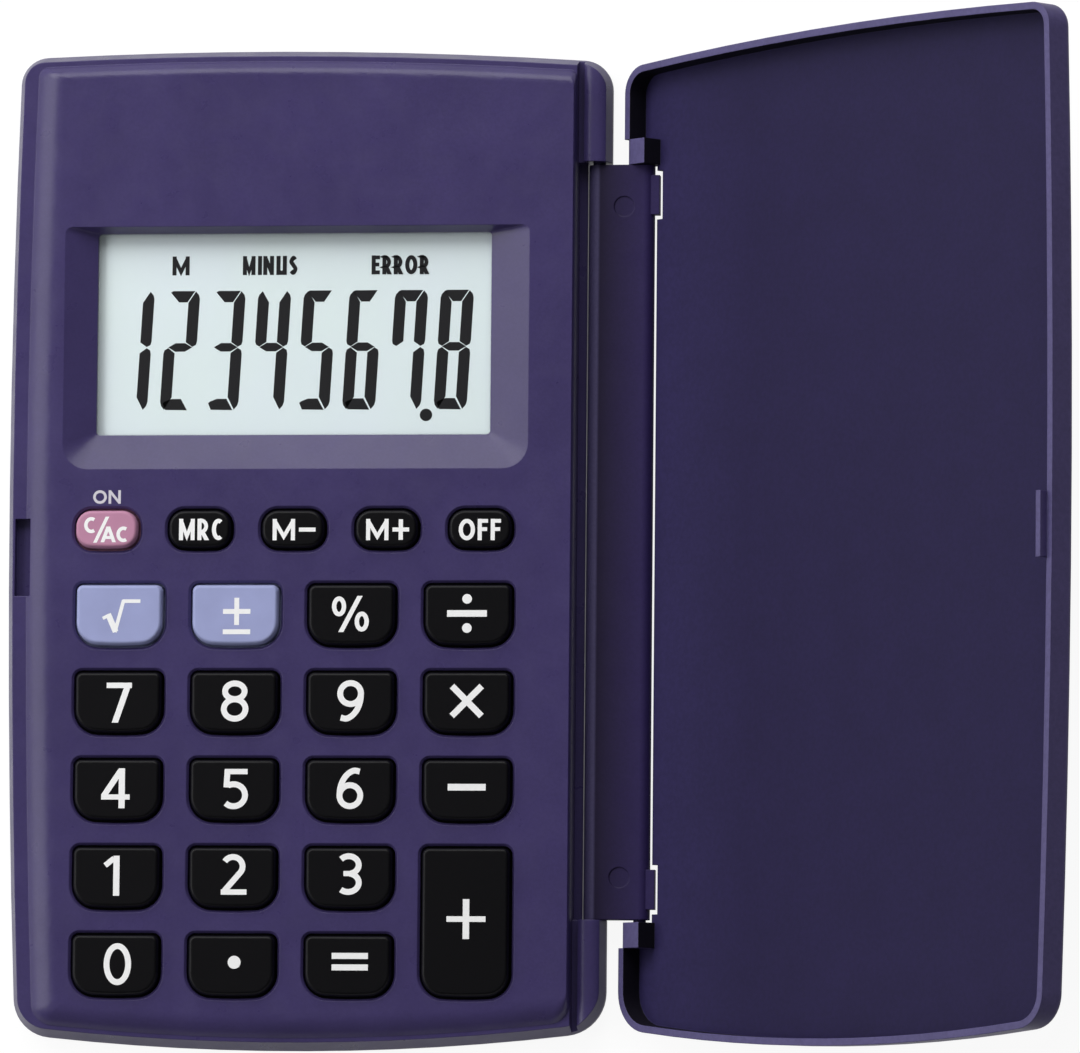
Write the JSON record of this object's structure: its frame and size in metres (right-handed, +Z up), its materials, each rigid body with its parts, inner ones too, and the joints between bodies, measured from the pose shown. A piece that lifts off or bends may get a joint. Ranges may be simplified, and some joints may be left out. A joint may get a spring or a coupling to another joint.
{
  "type": "folding pocket calculator",
  "caption": "Slim pocket calculator with a sloped display recess, press keys, and a hinged hard lid on a flat link that closes over the keys or folds flat behind the case.",
  "frame": {"origin": "centre of the case's underside", "axes": "+X towards the hinge and the open lid, +Y towards the display end, +Z up out of the keys"},
  "size_m": [0.1381, 0.127, 0.0532],
  "materials": {
    "case_plastic": "fine matt moulded",
    "screw_steel": "bright",
    "clear_plastic": "clear polished",
    "display_grey": "satin",
    "display_glass": "polished",
    "reflector_foil": "satin foil",
    "inner_plastic": "moulded",
    "mat_rubber": "matt",
    "board_laminate": "laminate",
    "resin": "cast resin",
    "ceramic": "ceramic",
    "cell_steel": "bright",
    "contact_brass": "nickel over brass",
    "key_black": "semi gloss",
    "key_pink": "semi gloss",
    "key_blue": "semi gloss"
  },
  "bodies": {
    "case": {"front_case": "case_plastic", "rear_case": "case_plastic", "case_screws": "screw_steel", "battery_cover": "case_plastic", "battery_cover_screw": "screw_steel", "display_window": "clear_plastic", "display_front_polariser": "display_grey", "display_front_glass": "display_glass", "display_rear_glass": "display_glass", "display_reflector": "reflector_foil", "display_holder": "inner_plastic", "display_contact_strip": "mat_rubber", "circuit_board": "board_laminate", "key_mat": "mat_rubber", "chip": "resin", "board_capacitors": "ceramic", "button_cell": "cell_steel", "battery_contact_minus": "contact_brass", "battery_contact_plus": "contact_brass"},
    "link": {"hinge_link": "case_plastic"},
    "lid": {"lid": "case_plastic"},
    "key_clear": {"key_clear": "key_pink"},
    "key_memory_recall": {"key_memory_recall": "key_black"},
    "key_memory_minus": {"key_memory_minus": "key_black"},
    "key_memory_plus": {"key_memory_plus": "key_black"},
    "key_off": {"key_off": "key_black"},
    "key_square_root": {"key_square_root": "key_blue"},
    "key_change_sign": {"key_change_sign": "key_blue"},
    "key_percent": {"key_percent": "key_black"},
    "key_divide": {"key_divide": "key_black"},
    "key_7": {"key_7": "key_black"},
    "key_8": {"key_8": "key_black"},
    "key_9": {"key_9": "key_black"},
    "key_multiply": {"key_multiply": "key_black"},
    "key_4": {"key_4": "key_black"},
    "key_5": {"key_5": "key_black"},
    "key_6": {"key_6": "key_black"},
    "key_minus": {"key_minus": "key_black"},
    "key_1": {"key_1": "key_black"},
    "key_2": {"key_2": "key_black"},
    "key_3": {"key_3": "key_black"},
    "key_0": {"key_0": "key_black"},
    "key_point": {"key_point": "key_black"},
    "key_equals": {"key_equals": "key_black"},
    "key_plus": {"key_plus": "key_black"}
  },
  "joints": [
    {"name": "link_hinge", "type": "hinge", "parent": "case", "child": "link", "pos_m": [0.0368, 0, 0.0024], "axis": [0, -1, 0], "range_deg": [-90, 90]},
    {"name": "lid_hinge", "type": "hinge", "parent": "link", "child": "lid", "pos_m": [0.0426, 0, 0.0024], "axis": [0, -1, 0], "range_deg": [-131, 49]},
    {"name": "key_clear_press", "type": "slide", "parent": "case", "child": "key_clear", "axis": [0, 0, 1], "range_m": [-0.0007, 0], "stiffness_N_per_m": 100, "deforming": ["key_mat"]},
    {"name": "key_memory_recall_press", "type": "slide", "parent": "case", "child": "key_memory_recall", "axis": [0, 0, 1], "range_m": [-0.0007, 0], "stiffness_N_per_m": 100, "deforming": ["key_mat"]},
    {"name": "key_memory_minus_press", "type": "slide", "parent": "case", "child": "key_memory_minus", "axis": [0, 0, 1], "range_m": [-0.0007, 0], "stiffness_N_per_m": 100, "deforming": ["key_mat"]},
    {"name": "key_memory_plus_press", "type": "slide", "parent": "case", "child": "key_memory_plus", "axis": [0, 0, 1], "range_m": [-0.0007, 0], "stiffness_N_per_m": 100, "deforming": ["key_mat"]},
    {"name": "key_off_press", "type": "slide", "parent": "case", "child": "key_off", "axis": [0, 0, 1], "range_m": [-0.0007, 0], "stiffness_N_per_m": 100, "deforming": ["key_mat"]},
    {"name": "key_square_root_press", "type": "slide", "parent": "case", "child": "key_square_root", "axis": [0, 0, 1], "range_m": [-0.0007, 0], "stiffness_N_per_m": 100, "deforming": ["key_mat"]},
    {"name": "key_change_sign_press", "type": "slide", "parent": "case", "child": "key_change_sign", "axis": [0, 0, 1], "range_m": [-0.0007, 0], "stiffness_N_per_m": 100, "deforming": ["key_mat"]},
    {"name": "key_percent_press", "type": "slide", "parent": "case", "child": "key_percent", "axis": [0, 0, 1], "range_m": [-0.0007, 0], "stiffness_N_per_m": 100, "deforming": ["key_mat"]},
    {"name": "key_divide_press", "type": "slide", "parent": "case", "child": "key_divide", "axis": [0, 0, 1], "range_m": [-0.0007, 0], "stiffness_N_per_m": 100, "deforming": ["key_mat"]},
    {"name": "key_7_press", "type": "slide", "parent": "case", "child": "key_7", "axis": [0, 0, 1], "range_m": [-0.0007, 0], "stiffness_N_per_m": 100, "deforming": ["key_mat"]},
    {"name": "key_8_press", "type": "slide", "parent": "case", "child": "key_8", "axis": [0, 0, 1], "range_m": [-0.0007, 0], "stiffness_N_per_m": 100, "deforming": ["key_mat"]},
    {"name": "key_9_press", "type": "slide", "parent": "case", "child": "key_9", "axis": [0, 0, 1], "range_m": [-0.0007, 0], "stiffness_N_per_m": 100, "deforming": ["key_mat"]},
    {"name": "key_multiply_press", "type": "slide", "parent": "case", "child": "key_multiply", "axis": [0, 0, 1], "range_m": [-0.0007, 0], "stiffness_N_per_m": 100, "deforming": ["key_mat"]},
    {"name": "key_4_press", "type": "slide", "parent": "case", "child": "key_4", "axis": [0, 0, 1], "range_m": [-0.0007, 0], "stiffness_N_per_m": 100, "deforming": ["key_mat"]},
    {"name": "key_5_press", "type": "slide", "parent": "case", "child": "key_5", "axis": [0, 0, 1], "range_m": [-0.0007, 0], "stiffness_N_per_m": 100, "deforming": ["key_mat"]},
    {"name": "key_6_press", "type": "slide", "parent": "case", "child": "key_6", "axis": [0, 0, 1], "range_m": [-0.0007, 0], "stiffness_N_per_m": 100, "deforming": ["key_mat"]},
    {"name": "key_minus_press", "type": "slide", "parent": "case", "child": "key_minus", "axis": [0, 0, 1], "range_m": [-0.0007, 0], "stiffness_N_per_m": 100, "deforming": ["key_mat"]},
    {"name": "key_1_press", "type": "slide", "parent": "case", "child": "key_1", "axis": [0, 0, 1], "range_m": [-0.0007, 0], "stiffness_N_per_m": 100, "deforming": ["key_mat"]},
    {"name": "key_2_press", "type": "slide", "parent": "case", "child": "key_2", "axis": [0, 0, 1], "range_m": [-0.0007, 0], "stiffness_N_per_m": 100, "deforming": ["key_mat"]},
    {"name": "key_3_press", "type": "slide", "parent": "case", "child": "key_3", "axis": [0, 0, 1], "range_m": [-0.0007, 0], "stiffness_N_per_m": 100, "deforming": ["key_mat"]},
    {"name": "key_0_press", "type": "slide", "parent": "case", "child": "key_0", "axis": [0, 0, 1], "range_m": [-0.0007, 0], "stiffness_N_per_m": 100, "deforming": ["key_mat"]},
    {"name": "key_point_press", "type": "slide", "parent": "case", "child": "key_point", "axis": [0, 0, 1], "range_m": [-0.0007, 0], "stiffness_N_per_m": 100, "deforming": ["key_mat"]},
    {"name": "key_equals_press", "type": "slide", "parent": "case", "child": "key_equals", "axis": [0, 0, 1], "range_m": [-0.0007, 0], "stiffness_N_per_m": 100, "deforming": ["key_mat"]},
    {"name": "key_plus_press", "type": "slide", "parent": "case", "child": "key_plus", "axis": [0, 0, 1], "range_m": [-0.0007, 0], "stiffness_N_per_m": 100, "deforming": ["key_mat"]}
  ]
}
